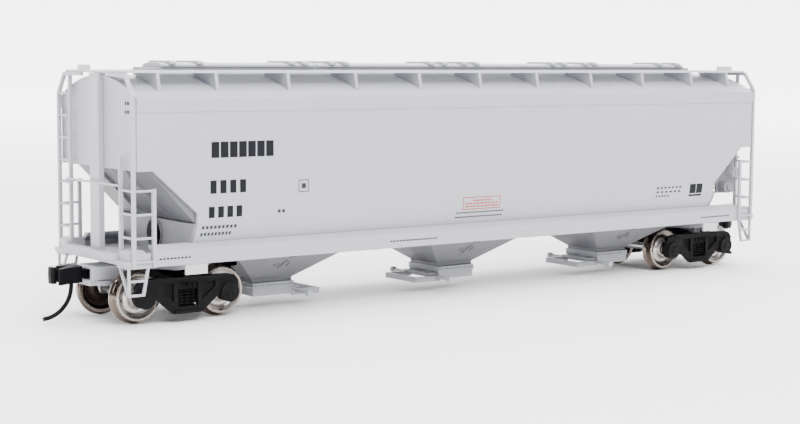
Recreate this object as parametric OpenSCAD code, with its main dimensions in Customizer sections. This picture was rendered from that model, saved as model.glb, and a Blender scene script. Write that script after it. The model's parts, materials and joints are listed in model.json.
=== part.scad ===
// Three-bay covered hopper car, 1:87 scale railway model.
// +Z is up, +X runs along the car, z = 0 is the lowest point of the wheel flanges.
// Heights in the Customizer are measured over the rail head, which the wheel treads stand on.
// "a" is the end at -X, "b" is the end at +X, where the brake gear is.

/* [Car] */
// Distance between the two truck centres
truck_centres = 158.4; // [157:0.1:160]
// Length of the side sheets
body_len = 187.2; // [187:0.1:188]
// Width over the side sheets
body_w = 36.04; // [35.8:0.01:36.2]
// Wall thickness of the moulded body
wall = 1; // [0.8:0.1:1.2]
// Height of the top of the roof arch
roof_h = 52.4; // [52:0.1:52.5]
// Height of the top edge of the side
eave_h = 47.8; // [47:0.1:48]
// Height of the top plate's lower seam on the side
plate_h = 44.8; // [44:0.1:45.5]
// Height where the side starts to curve inwards
bend_h = 23.3; // [23:0.1:24]
// Radius of the side's inward curve
bend_r = 9.7; // [9.6:0.1:10]
// Height of the bottom of the side sheets
side_bottom_h = 16.9; // [16.8:0.1:17]
// Height of the end wall's lower edge
end_wall_h = 32.6; // [32:0.1:33]

/* [Underside] */
// Half width over the side sills
sill_half_w = 17.35; // [17:0.05:17.5]
// Height of the side sill's bottom
sill_h = 12.45; // [12.4:0.05:12.6]
// Half length of the side sills
sill_half_len = 89.4; // [89:0.1:89.5]
// Distance between neighbouring hopper bays
bay_pitch = 53.25; // [53:0.05:53.5]
// Height of the coupler's centre line
coupler_h = 9.93; // [9.8:0.01:10]
// Distance of the coupler's pulling face from the middle of the car
coupler_x = 104.9; // [104.5:0.1:105.2]

/* [Running gear] */
// Depth of the wheel flange below the rail head
flange_h = 0.65; // [0.6:0.05:0.7]
// Diameter of the wheel tread
tread_d = 10.5; // [10.4:0.1:10.6]
// Distance between a truck's two axles
wheelbase = 20.4; // [20.2:0.1:20.6]
// Distance between the backs of the two wheels on an axle
back_to_back = 14.55; // [14.4:0.05:14.7]
// Width of a wheel over tread and flange
wheel_w = 2.79; // [2.7:0.01:2.8]

/* [Ladders and roof] */
// Spacing of the ladder rungs
rung_pitch = 4.93; // [4.9:0.01:4.95]
// Height of the lowest rung
first_rung_h = 13.75; // [13.7:0.05:13.8]
// Height of the walkways' top surface
walk_h = 53.4; // [53.3:0.1:53.5]
// Spacing of the walkway brackets in the middle of the car
bracket_pitch = 18.2; // [18:0.1:18.3]

/* [Hidden] */
$fn = 32;
eps = 0.01;

body_c = "gainsboro";
end_c = "lightgray";
sheet_c = "silver";
metal_c = "slategray";
black_c = "dimgray";

// heights from the flange bottom
function up(h) = h + flange_h;

half_len = body_len / 2;
half_w = body_w / 2;
truck_x = truck_centres / 2;
axle_z = up(tread_d / 2);
eave_z = up(eave_h);
roof_z = up(roof_h);
plate_z = up(plate_h);
bend_z = up(bend_h);
side_z = up(side_bottom_h);
end_wall_z = up(end_wall_h);
sill_z = up(sill_h);
walk_z = up(walk_h);
coupler_z = up(coupler_h);

// ---------------------------------------------------------------- helpers

// Extrudes a (Y, Z) outline along the car.
module along_car(len) {
    rotate([90, 0, 90])
        linear_extrude(len, center = true)
            children();
}

// Extrudes an (X, Z) outline across the car.
module across_car(width) {
    rotate([90, 0, 0])
        linear_extrude(width, center = true)
            children();
}

// Repeats a piece of the a end at the b end, turned half round.
module both_ends() {
    children();
    rotate([0, 0, 180])
        children();
}

// Repeats a piece on the other side of the car.
module both_sides() {
    children();
    mirror([0, 1, 0])
        children();
}

// A block given by its lowest and highest corner.
module block(low, high) {
    translate(low)
        cube(high - low);
}

// A round rod between two points of a plane that holds an axis of the car.
module rod(from, to, d) {
    v = to - from;
    translate(from)
        rotate([0, acos(v.z / norm(v)), atan2(v.y, v.x)])
            cylinder(d = d, h = norm(v), $fn = 16);
}

function mirrored(half) = concat(half, [for (i = [len(half) - 1:-1:0]) [-half[i].x, half[i].y]]);

// ---------------------------------------------------------------- body

plate_out = 0.3;
side_steps = 6;
roof_steps = 12;
bend_angle = asin((bend_z - side_z) / bend_r);
roof_rise = roof_z - eave_z;
roof_r = (half_w * half_w + roof_rise * roof_rise) / (2 * roof_rise);
roof_angle = asin(half_w / roof_r);

// Height of the roof surface at a distance y from the centre line
function roof_at(y) = roof_z - roof_r + sqrt(roof_r * roof_r - y * y);

// Outline of one half of the side's curve, moved inwards by t
function side_curve(t) = [
    for (i = [0:side_steps])
        let (a = -bend_angle * (1 - i / side_steps))
            [half_w - bend_r + (bend_r - t) * cos(a), bend_z + (bend_r - t) * sin(a)]
];

// Outline of one half of the roof arch, moved inwards by t
function roof_curve(t) = [
    for (i = [0:roof_steps - 1])
        let (a = (roof_angle - asin(t / roof_r)) * (1 - i / roof_steps))
            [(roof_r - t) * sin(a), roof_z - roof_r + (roof_r - t) * cos(a)]
];

// Outline of the body's inside, cut off well below the side sheets
module inside_outline(t) {
    low = side_curve(t)[0];
    half = concat([[low.x, sill_z]], side_curve(t), [[half_w - t, eave_z - t]], roof_curve(t));
    polygon(mirrored(half));
}

module outside_outline() {
    plate = [
        [half_w, plate_z],
        [half_w + plate_out, plate_z],
        [half_w + plate_out, eave_z]
    ];
    polygon(mirrored(concat(side_curve(0), plate, roof_curve(0))));
}

corner_in = 3.75;
slope_foot_x = 79.35;
end_recess = 0.4;
slope_bend_x = 90.6;
slope_rise = 1.03;
sheet_t = 2.5;

// Height of the slope sheet's underside at a distance x from the middle
function slope_at(x) = end_wall_z - (slope_bend_x - x) * slope_rise;

module body_shell() {
    color(body_c)
        difference() {
            along_car(body_len)
                outside_outline();
            along_car(body_len - 2 * (wall + end_recess))
                inside_outline(wall);
            both_ends() {
                translate([-half_len, 0, 0])
                    along_car(2 * end_recess)
                        inside_outline(wall / 2);
                across_car(body_w + 2)
                    polygon([
                        [-half_len - 1, end_wall_z],
                        [-half_len + corner_in, end_wall_z],
                        [-slope_foot_x, bend_z],
                        [-slope_foot_x, sill_z],
                        [-half_len - 1, sill_z]
                    ]);
            }
        }
}

sill_top_y = side_curve(0)[0].x - wall;
// Outline of the space between the sills and, t inside their outer faces, the side sheets
module between_sides(t) {
    polygon(mirrored(concat(
        [[sill_top_y, sill_z], [sill_top_y, side_z]],
        side_curve(t),
        [[half_w - t, eave_z - wall]]
    )));
}

// Slope sheet that closes each end below the end wall, with two stiffening ribs under it
slope_low_x = 73;
rib_y = 6.5;
module slope_sheets() {
    start_x = half_len - wall - end_recess - eps;
    color(sheet_c)
        both_ends() {
            intersection() {
                across_car(body_w)
                    polygon([
                        [-start_x, end_wall_z],
                        [-slope_bend_x, end_wall_z],
                        [-slope_low_x, slope_at(slope_low_x)],
                        [-slope_low_x, slope_at(slope_low_x) + sheet_t],
                        [-slope_bend_x, end_wall_z + sheet_t],
                        [-start_x, end_wall_z + sheet_t]
                    ]);
                along_car(body_len)
                    between_sides(wall + eps);
            }
            for (y = [-rib_y, rib_y])
                translate([0, y, 0])
                    across_car(0.6)
                        polygon([
                            [-slope_bend_x, end_wall_z],
                            [-slope_bend_x + 1, slope_at(slope_bend_x - 1) - 1],
                            [-web_x - 2.6, slope_at(web_x + 2.6) - 1],
                            [-web_x - 0.8, slope_at(web_x + 0.8)]
                        ]);
        }
}

// Upright web over each bolster, with one round hole and its rim
web_x = 79.75;
web_t = 0.8;
web_hole_r = 3.2;
web_rim = 0.3;
web_hole_h = 17.55;
floor_h = 13.2;
floor_t = 0.8;
module bolster_webs() {
    floor_top = up(floor_h) + floor_t;
    color(end_c)
        both_ends()
            difference() {
                union() {
                    intersection() {
                        translate([-web_x, 0, 0])
                            along_car(web_t)
                                polygon(mirrored([
                                    [half_w, floor_top],
                                    [half_w, slope_at(web_x - web_t / 2) - eps]
                                ]));
                        along_car(body_len)
                            between_sides(0.1);
                    }
                    translate([-web_x - web_t / 2 - web_rim, 0, up(web_hole_h)])
                        rotate([0, 90, 0])
                            cylinder(r = web_hole_r + 0.3, h = web_rim + web_t / 2, $fn = 48);
                }
                translate([-web_x - 2, 0, up(web_hole_h)])
                    rotate([0, 90, 0])
                        cylinder(r = web_hole_r, h = 4, $fn = 48);
            }
}

// Wide channel post up the middle of each end
post_half_w = 2.15;
post_x = 94.5;
platform_h = 13.9;
module end_posts() {
    back_x = half_len - end_recess;
    foot_z = up(platform_h);
    head_z = up(walk_h) - 0.55;
    color(end_c)
        both_ends()
            difference() {
                block([-post_x, -post_half_w, foot_z], [-back_x, post_half_w, head_z]);
                block(
                    [-post_x + 0.45, -post_half_w + 0.4, foot_z - 1],
                    [-back_x + 1, post_half_w - 0.4, head_z - 2]
                );
                // the roof's end rim
                block(
                    [-half_len, -post_half_w - 1, roof_z - wall / 2 - 0.1],
                    [-back_x + 1, post_half_w + 1, head_z + 1]
                );
            }
}

module side_sills() {
    wall_y = sill_top_y + wall;
    color(body_c)
        both_sides()
            along_car(2 * sill_half_len)
                polygon([
                    [wall_y - wall, side_z],
                    [wall_y, side_z],
                    [sill_half_w, side_z - 1.35],
                    [sill_half_w, sill_z],
                    [sill_half_w - 2, sill_z],
                    [sill_half_w - 2, sill_z + 0.6],
                    [sill_half_w - 0.8, sill_z + 0.6],
                    [sill_half_w - 0.8, side_z - 1.8],
                    [wall_y - wall, side_z - 0.7]
                ]);
}

// ---------------------------------------------------------------- ends

post_w = 0.75;
ladder_y = 17.75;
platform_half_w = ladder_y - post_w / 2;
platform_x = 96;
tread_half_w = 12.4;
// Walkway across the end with its raised crossover tread, corner steps and blank corner panels
module end_platform() {
    top = up(platform_h);
    low = sill_z - 0.1;
    block([-platform_x, -platform_half_w, top - 0.9], [-sill_half_len, platform_half_w, top]);
    difference() {
        block([-platform_x - 0.6, -tread_half_w, top - 0.1], [-post_x - 0.25, tread_half_w, top + 1.3]);
        for (y = [-tread_half_w + 0.7:1.5:tread_half_w - 1.5])
            block([-platform_x - 0.2, y, top + 0.7], [-post_x - 0.6, y + 1, top + 2]);
    }
    both_sides() {
        // ledge that carries the side ladder and the stirrup
        block([-platform_x + 0.4, 12.5, low], [-sill_half_len, platform_half_w, top - 0.8]);
        // blank panel between the side ladder's posts
        block([-93.8, platform_half_w - 0.5, top - 0.1], [-90.2, platform_half_w, top + 1.6]);
        // corner step with a rounded top
        translate([0, 14.75, 0])
            across_car(4.5)
                polygon([
                    [-95.1, top - 0.1], [-95.1, top + 1.6], [-94.5, top + 2.1], [-93, top + 2.4],
                    [-91.8, top + 2.2], [-91, top + 1.6], [-91, top - 0.1]
                ]);
        // stubs over the draft box
        block([-93, 3, low], [-sill_half_len, 3.8, top - 0.8]);
    }
}

module end_platform_a() {
    color(end_c)
        end_platform();
}

module end_platform_b() {
    color(end_c)
        rotate([0, 0, 180])
            end_platform();
}

rung_d = 0.55;
corner_x = 94.3;
inner_x = 89.6;
inner_y = 12;
side_rungs = 4;
full_rungs = 8;
bend_in_y = 14.4;
ladder_head_h = walk_h - 0.5 - post_w / 2;

function rung_z(i) = up(first_rung_h + i * rung_pitch);

// Upright post of square section
module upright(x, y, z0, z1) {
    block([x - post_w / 2, y - post_w / 2, z0], [x + post_w / 2, y + post_w / 2, z1]);
}

// Corner post that leans in to the roof and runs under the end walkway,
// with the short side ladder beside it
module corner_frame() {
    foot_z = sill_z;
    knee_z = up(48.3);
    head_z = up(ladder_head_h);
    bar_y = 6;
    translate([-corner_x, 0, 0])
        along_car(post_w)
            polygon([
                [ladder_y + post_w / 2, foot_z],
                [ladder_y + post_w / 2, knee_z],
                [bend_in_y + post_w / 2, head_z + post_w / 2],
                [bar_y, head_z + post_w / 2],
                [bar_y, head_z - post_w / 2],
                [bend_in_y, head_z - post_w / 2],
                [ladder_y - post_w / 2, knee_z - 0.2],
                [ladder_y - post_w / 2, foot_z]
            ]);
    upright(-inner_x, ladder_y, foot_z, rung_z(side_rungs - 1) + 0.4);
    for (i = [0:side_rungs - 1])
        translate([-corner_x, ladder_y, rung_z(i)])
            rotate([0, 90, 0])
                cylinder(d = rung_d, h = corner_x - inner_x, $fn = 16);
}

// Ladder on the end wall: an inner post and a number of rungs
module end_ladder(rungs, top_z) {
    upright(-corner_x, inner_y, up(platform_h), top_z);
    for (i = [1:rungs - 1])
        translate([-corner_x, inner_y, rung_z(i)])
            rotate([-90, 0, 0])
                cylinder(d = rung_d, h = ladder_y - inner_y, $fn = 16);
}

module ladders_full() {
    color(end_c)
        both_ends() {
            corner_frame();
            end_ladder(full_rungs, up(ladder_head_h) - post_w / 2);
        }
}

module ladders_short() {
    color(end_c)
        both_ends()
            mirror([0, 1, 0]) {
                corner_frame();
                end_ladder(side_rungs, up(35.4));
            }
}

// Step under each corner: a strap loop with a middle rung and a brace up to the ledge
stirrup_y = 16.9;
stirrup_low_h = 6.5;
module stirrup() {
    top_z = sill_z - 0.1;
    low_z = up(stirrup_low_h);
    mid_z = up(9.75);
    strap = 0.5;
    outer_x = 95.35;
    inner_top_x = 90.4;
    inner_low_x = 91.5;
    inner_mid_x = (inner_top_x + inner_low_x) / 2;
    translate([0, stirrup_y, 0])
        across_car(0.6)
            difference() {
                polygon([
                    [-outer_x, top_z], [-outer_x, low_z], [-inner_low_x, low_z], [-inner_top_x, top_z]
                ]);
                polygon([
                    [-outer_x + strap, top_z + eps], [-outer_x + strap, mid_z + strap / 2],
                    [-inner_mid_x - strap, mid_z + strap / 2], [-inner_top_x - strap, top_z + eps]
                ]);
                polygon([
                    [-outer_x + strap, mid_z - strap / 2], [-outer_x + strap, low_z + strap],
                    [-inner_low_x - strap, low_z + strap], [-inner_mid_x - strap, mid_z - strap / 2]
                ]);
            }
    translate([-outer_x + strap / 2, 0, 0])
        along_car(strap)
            polygon([
                [16.4, low_z], [stirrup_y, low_z], [stirrup_y, low_z + 0.5], [13.3, top_z], [12.6, top_z]
            ]);
}

module stirrups() {
    color(end_c)
        both_ends()
            both_sides()
                stirrup();
}

// Grab bar across each end at waist height
handrail_h = 29.5;
module end_handrails() {
    z = up(handrail_h);
    bar_x = post_x + 0.65;
    color(end_c)
        both_ends() {
            translate([-bar_x, -inner_y - 0.6, z])
                rotate([-90, 0, 0])
                    cylinder(d = 0.5, h = 2 * inner_y + 1.2, $fn = 16);
            for (y = [-inner_y, inner_y])
                translate([-bar_x, y, z])
                    rotate([0, 90, 0])
                        cylinder(d = 0.4, h = bar_x - corner_x - post_w / 2, $fn = 16);
        }
}

// ---------------------------------------------------------------- underside

bolster_half_x = 2.6;
bolster_low_h = 10.3;
plate_low_h = 9.8;
kingpin_r = 1.2;
draft_sill_half_w = 2.9;
draft_top_h = 11.6;
box_x = 97.1;
box_back_x = 87;
// Floor plate with a body bolster and a draft sill at each end
module underframe() {
    floor_z = up(floor_h);
    color(sheet_c)
        difference() {
            union() {
                block(
                    [-sill_half_len, -sill_half_w + 2, floor_z],
                    [sill_half_len, sill_half_w - 2, floor_z + floor_t]
                );
                both_ends() {
                    translate([-truck_x, 0, 0])
                        along_car(2 * bolster_half_x)
                            polygon(mirrored([
                                [3.2, up(bolster_low_h) - 0.3],
                                [12, up(bolster_low_h) + 0.4],
                                [sill_half_w - 2, up(bolster_low_h) + 1],
                                [sill_half_w - 2, floor_z + eps]
                            ]));
                    translate([-truck_x, 0, up(plate_low_h)])
                        cylinder(r = 3.2, h = floor_h - plate_low_h, $fn = 48);
                    block(
                        [-sill_half_len, -draft_sill_half_w, up(draft_top_h)],
                        [-truck_x, draft_sill_half_w, floor_z + eps]
                    );
                }
            }
            both_ends()
                translate([-truck_x, 0, up(plate_low_h) - 1])
                    cylinder(r = kingpin_r, h = floor_h - plate_low_h + 1);
        }
}

bay_low_h = 5.3;
bay_collar_h = 6.1;
bay_low_x = 5.3;
bay_low_y = 5.6;
bay_top_x = 15.2;
bay_top_y = 15.0;
bay_wall = 0.9;
wheel_well_r = 17.3;
wheel_well_h = 11.7;

// Four-sided funnel from the floor plate down to the gate
module funnel(t) {
    top_z = up(floor_h);
    collar_z = up(bay_collar_h);
    low_z = up(bay_low_h);
    intersection() {
        across_car(2 * bay_top_y)
            polygon(mirrored([
                [bay_low_x - t, low_z], [bay_low_x - t, collar_z], [bay_top_x - t, top_z]
            ]));
        along_car(2 * bay_top_x)
            polygon(mirrored([
                [bay_low_y - t, low_z], [bay_low_y - t, collar_z], [bay_top_y - t, top_z]
            ]));
    }
}

// Hopper bay; the outer two are hollowed where the truck's wheels swing
module hopper_bay(x) {
    color(sheet_c)
        difference() {
            translate([x, 0, 0])
                funnel(0);
            translate([x, 0, 0])
                funnel(bay_wall);
            for (side = [-1, 1])
                translate([side * truck_x, 0, 0])
                    cylinder(r = wheel_well_r, h = up(wheel_well_h), $fn = 96);
        }
}

module hopper_bay_1() hopper_bay(-bay_pitch);
module hopper_bay_2() hopper_bay(0);
module hopper_bay_3() hopper_bay(bay_pitch);

// Places a gate at each bay; the first opens towards +X, the others towards -X
module at_gates() {
    translate([-bay_pitch, 0, 0])
        mirror([1, 0, 0])
            children();
    children();
    translate([bay_pitch, 0, 0])
        children();
}

gate_half_x = 5.5;
gate_half_y = 6.25;
gate_low_h = 2.3;
flange_low_h = 4.05;
slide_h = 3.35;
slide_t = 0.45;
rail_x = 12.6;
shaft_x = 6.2;
shaft_h = 2.9;
shaft_r = 0.4;
// Outlet frame with a bolted flange and the two rails that carry the open slide
module gate_frame() {
    low_z = up(gate_low_h);
    top_z = up(bay_low_h);
    rail_low = up(1.9);
    rail_top = up(3.15);
    difference() {
        union() {
            block([-gate_half_x, -gate_half_y, up(flange_low_h)], [gate_half_x, gate_half_y, top_z]);
            block(
                [-gate_half_x + 0.2, -gate_half_y + 0.2, low_z],
                [gate_half_x - 0.2, gate_half_y - 0.2, top_z - 0.2]
            );
            both_sides()
                block([-rail_x, gate_half_y - 0.8, rail_low], [-gate_half_x + 0.4, gate_half_y, rail_top]);
            block([-rail_x, -gate_half_y, rail_low], [-rail_x + 0.8, gate_half_y, rail_top]);
            both_sides()
                block(
                    [gate_half_x - 0.5, gate_half_y - 1.6, up(4.3)],
                    [gate_half_x + 0.9, gate_half_y - 0.9, up(4.8)]
                );
        }
        block([-4.3, -5, low_z - 1], [4.3, 5, top_z + 1]);
        // groove around the flange
        difference() {
            block([-7, -8, up(4.6)], [7, 8, up(4.85)]);
            block([-5.3, -6.05, up(4.5)], [5.3, 6.05, up(4.95)]);
        }
        // slot that the slide runs in
        block([-7, -5.3, up(slide_h) - 0.05], [4.7, 5.3, up(slide_h) + slide_t + 0.05]);
        translate([-shaft_x, 0, up(shaft_h)])
            rotate([90, 0, 0])
                cylinder(r = shaft_r + 0.05, h = 30, center = true, $fn = 24);
    }
}

module gate_frames() {
    color("silver")
        at_gates()
            gate_frame();
}

// Sliding door of each gate with its two toothed racks
module gate_slides() {
    low_z = up(slide_h);
    top_z = low_z + slide_t;
    color(metal_c)
        at_gates() {
            block([-7.8, -5.25, low_z], [4.65, 5.25, top_z]);
            both_sides()
                for (i = [0:2])
                    block([-7.6 + i * 0.7, 2.6, top_z], [-7.25 + i * 0.7, 3.4, top_z + 0.3]);
        }
}

// Operating shaft across each gate with a capstan at each end
module gate_shafts() {
    color(metal_c)
        at_gates()
            translate([-shaft_x, 0, up(shaft_h)])
                rotate([90, 0, 0]) {
                    cylinder(r = shaft_r, h = 2 * 11.6, center = true, $fn = 24);
                    for (side = [-1, 1])
                        translate([0, 0, side * 11.6])
                            cylinder(r = 0.75, h = 1.1, center = true, $fn = 24);
                }
}

// Small plates hung under the sills at the bolster ends
module placard_plates() {
    color("white")
        both_ends()
            both_sides()
                block(
                    [-truck_x - 2.65, sill_half_w - 0.75, up(10.25)],
                    [-truck_x + 2.65, sill_half_w - 0.2, sill_z]
                );
}

// ---------------------------------------------------------------- roof

walk_t = 0.5;
walk_in_y = 5.2;
walk_out_y = 14.6;
walk_half_len = 91;
bracket_t = 0.8;
bracket_tip_y = 15.4;
bracket_xs = concat([for (i = [-4:4]) i * bracket_pitch], [-86.8, 86.8]);

// Triangular walkway bracket standing on the roof arch
module roof_bracket() {
    steps = 6;
    low = [
        for (i = [0:steps])
            let (y = bracket_tip_y - (bracket_tip_y - walk_in_y) * i / steps)
                [y, roof_at(y) + eps]
    ];
    along_car(bracket_t)
        polygon(concat(low, [[walk_in_y, walk_z - walk_t], [walk_out_y, walk_z - walk_t]]));
}

module roof_brackets() {
    color(end_c)
        both_sides()
            for (x = bracket_xs)
                translate([x, 0, 0])
                    roof_bracket();
}

module roofwalk() {
    block([-walk_half_len, walk_in_y, walk_z - walk_t], [walk_half_len, walk_out_y, walk_z]);
}

module roofwalk_left() {
    color("white")
        roofwalk();
}

module roofwalk_right() {
    color("white")
        mirror([0, 1, 0])
            roofwalk();
}

// Cross walkway at each end of the roof with a raised handhold over the full ladder
end_walk_x = 94.1;
module roof_end_walks() {
    hold_x = 92.6;
    hold_y = 8.45;
    color("white")
        both_ends() {
            block([-end_walk_x, -walk_out_y, walk_z - walk_t], [-walk_half_len, walk_out_y, walk_z]);
            block([-hold_x - 0.3, hold_y - 2.6, walk_z], [-hold_x + 0.3, hold_y + 2.6, walk_z + 1.15]);
        }
}

coaming_half_w = 4.1;
coaming_half_len = 83;
cover_half_w = 4.6;
cover_top_h = 55.1;
cover_len = 40.1;
cover_gap = 0.2;
coaming_top_h = 54.1;
// Raised rim of the loading trough along the roof's centre line
module hatch_coaming() {
    low = [for (i = [0:4]) let (y = coaming_half_w * (1 - i / 4)) [y, roof_at(y) + eps]];
    color(end_c)
        difference() {
            along_car(2 * coaming_half_len)
                polygon(concat(
                    low,
                    [for (i = [3:-1:0]) [-low[i].x, low[i].y]],
                    [[-coaming_half_w, up(coaming_top_h)], [coaming_half_w, up(coaming_top_h)]]
                ));
            block(
                [-coaming_half_len + 0.8, -coaming_half_w + 0.8, up(roof_h) + 0.3],
                [coaming_half_len - 0.8, coaming_half_w - 0.8, up(coaming_top_h) + 1]
            );
        }
}

// Long covers with a shallow crown, lying on the coaming
module hatch_covers() {
    low_z = up(coaming_top_h);
    color(body_c)
        for (i = [-1.5:1:1.5])
            translate([i * (cover_len + cover_gap), 0, 0])
                along_car(cover_len)
                    polygon(mirrored([
                        [cover_half_w, low_z], [cover_half_w, low_z + 0.55], [2.6, up(cover_top_h)]
                    ]));
}

latch_h = 0.4;
// Batten clamps that hold the covers down, in pairs beside each joint
latch_xs = [3.1, 7.1, 32.4, 36.2, 43.8, 47.2, 71.2, 78];
module hatch_latches() {
    low_z = up(cover_top_h);
    color(end_c)
        for (side = [-1, 1], x = latch_xs)
            translate([side * x, 0, 0])
                along_car(1.5)
                    polygon(mirrored([
                        [2.6, low_z],
                        [4.6, low_z - 0.4],
                        [5.3, low_z - 0.45],
                        [5.3, low_z],
                        [4.3, low_z + 0.45],
                        [2.6, low_z + latch_h]
                    ]));
}

// ---------------------------------------------------------------- brake gear

gear_y = -12.4;
// Hand brake housing on the b end's ladder corner, with its wheel
housing_y = 6.6;
housing_h = 41;
module brake_housing() {
    color(end_c)
        translate([half_len - end_recess, housing_y, up(housing_h)]) {
            translate([0, -1.8, -2.2])
                cube([1.1, 3.6, 4.6]);
            rotate([0, 90, 0])
                cylinder(r = 0.8, h = 1.9, $fn = 32);
        }
}

wheel_r = 2.9;
module brake_wheel() {
    color(end_c)
        translate([half_len - end_recess + 1.9, housing_y, up(housing_h)])
            rotate([0, 90, 0]) {
                rotate_extrude($fn = 48)
                    translate([wheel_r - 0.3, 0.3])
                        circle(r = 0.3, $fn = 16);
                cylinder(r = 0.7, h = 0.6, $fn = 24);
                for (a = [0:72:288])
                    rotate([0, 0, a])
                        translate([0.5, -0.18, 0.12])
                            cube([wheel_r - 1, 0.36, 0.36]);
            }
}

// Mounting plate under the b end's slope sheet, with the brake cylinder on it
module brake_cylinder() {
    color(end_c) {
        translate([0, gear_y, 0])
            across_car(0.7)
                polygon([
                    [86, up(19.9)],
                    [93, up(19.9)],
                    [93, end_wall_z - 0.05],
                    [slope_bend_x, end_wall_z - 0.05],
                    [86, slope_at(86) - 0.1]
                ]);
        translate([87.9, gear_y - 0.3, up(21.6)])
            rotate([90, 0, 0]) {
                cylinder(r = 1.6, h = 2.6, $fn = 40);
                cylinder(r = 0.9, h = 3.3, $fn = 32);
            }
    }
}

module air_reservoir() {
    color(end_c)
        translate([90.9, gear_y - 0.35, up(25.6)])
            rotate([90, 0, 0]) {
                cylinder(r = 1.4, h = 2.6, $fn = 40);
                cylinder(r = 0.9, h = 3.1, $fn = 40);
            }
}

// Train pipe stubs and the rod between hand brake and cylinder
module brake_pipes() {
    pipe_d = 0.45;
    rod_x = half_len + 0.4;
    color(end_c) {
        rod([rod_x, housing_y, up(housing_h) - 2.25], [rod_x, housing_y, up(platform_h) + 0.05], pipe_d);
        rod([91.2, gear_y + 0.35, up(22.5)], [91.2, 14, up(22.5)], pipe_d);
        rod([88.2, gear_y + 0.35, up(21)], [88.2, 14, up(21)], pipe_d);
    }
}

// ---------------------------------------------------------------- draft gear

pivot_x = 92;
pivot_r = 1.1;
box_half_w = 3.85;
cavity_half_w = 2.7;
cavity_low = coupler_z - 1.25;
cavity_top = coupler_z + 1.1;
screw_r = 0.6;
// Coupler pocket, open to the front, with a post that the coupler turns on
module draft_boxes() {
    color(end_c)
        both_ends()
            difference() {
                union() {
                    difference() {
                        block([-box_x, -box_half_w, cavity_low], [-box_back_x, box_half_w, up(draft_top_h)]);
                        block(
                            [-box_x - 1, -cavity_half_w, cavity_low - 1],
                            [-box_back_x - 1, cavity_half_w, cavity_top]
                        );
                    }
                    translate([-pivot_x, 0, cavity_low])
                        cylinder(r = pivot_r, h = cavity_top - cavity_low + eps);
                }
                translate([-pivot_x, 0, cavity_low - 1])
                    cylinder(r = screw_r, h = 3.2, $fn = 24);
            }
}

lid_t = 1.2;
module draft_lids() {
    color(end_c)
        both_ends()
            difference() {
                union() {
                    block([-box_x - 0.3, -3.2, cavity_low - lid_t], [-box_back_x, 3.2, cavity_low]);
                    block([-box_x + 1.2, -4.2, cavity_low - lid_t], [-box_x + 4, 4.2, cavity_low - 0.2]);
                }
                translate([-pivot_x, 0, cavity_low - 2])
                    cylinder(r = screw_r, h = 4, $fn = 24);
            }
}

module lid_screws() {
    color(metal_c)
        both_ends()
            translate([-pivot_x, 0, cavity_low - lid_t - 0.6])
                difference() {
                    union() {
                        cylinder(r = 1.25, h = 0.6);
                        cylinder(r = screw_r, h = 3.4, $fn = 24);
                    }
                    translate([-2, -0.15, -0.1])
                        cube([4, 0.3, 0.35]);
                }
}

// Leaf springs that hold each coupler central
module coupler_springs() {
    color("goldenrod")
        both_ends()
            both_sides()
                block(
                    [-box_x + 0.8, cavity_half_w - 0.2, coupler_z - 0.7],
                    [-pivot_x + 0.5, cavity_half_w, coupler_z + 0.7]
                );
}

// Steel ballast plate that lies on the floor inside the body
module steel_weight() {
    color(metal_c)
        block([-70, -13, up(floor_h) + floor_t], [70, 13, up(floor_h) + floor_t + 2.6]);
}

// Screw through each truck bolster into the body bolster
module kingpin_screws() {
    head_t = 0.8;
    head_z = boss_z - head_t - 0.05;
    color(metal_c)
        both_ends()
            translate([-truck_x, 0, head_z])
                difference() {
                    union() {
                        cylinder(r = 2, h = head_t);
                        cylinder(r = kingpin_r, h = up(floor_h) - head_z);
                    }
                    translate([-3, -0.2, -0.1])
                        cube([6, 0.4, 0.45]);
                }
}

// ---------------------------------------------------------------- trucks

frame_in_y = 12.2;
frame_t = 1.1;
journal_r = 2.2;
tip_y = 12.75;
tip_r = 0.12;
cone_len = 1.3;
cone_r = 0.75;
fit_gap = 0.05;
axle_r = 1.15;
bolster_top_h = 9.75;
bolster_low_z = up(6.7);
boss_z = bolster_low_z - 0.5;
half_base = wheelbase / 2;

module truck_bolster(x) {
    top_z = up(bolster_top_h);
    color(black_c)
        translate([x, 0, 0])
            difference() {
                union() {
                    along_car(4.8)
                        polygon(mirrored([
                            [frame_in_y, bolster_low_z],
                            [frame_in_y, top_z - 1],
                            [6.5, top_z - 0.6],
                            [3.6, top_z - 0.05],
                            [0, top_z - 0.05]
                        ]));
                    both_sides()
                        block([-2.3, frame_in_y - eps, bolster_low_z], [2.3, frame_in_y + 0.9, up(7.9)]);
                    // side bearing pads
                    both_sides()
                        block([-1.2, 6.6, top_z - 1], [1.2, 8.4, top_z - 0.35]);
                    translate([0, 0, boss_z])
                        cylinder(r = 3.4, h = 2, $fn = 40);
                }
                translate([0, 0, bolster_low_z - 1])
                    cylinder(r = kingpin_r + 0.06, h = 6);
            }
}

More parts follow.
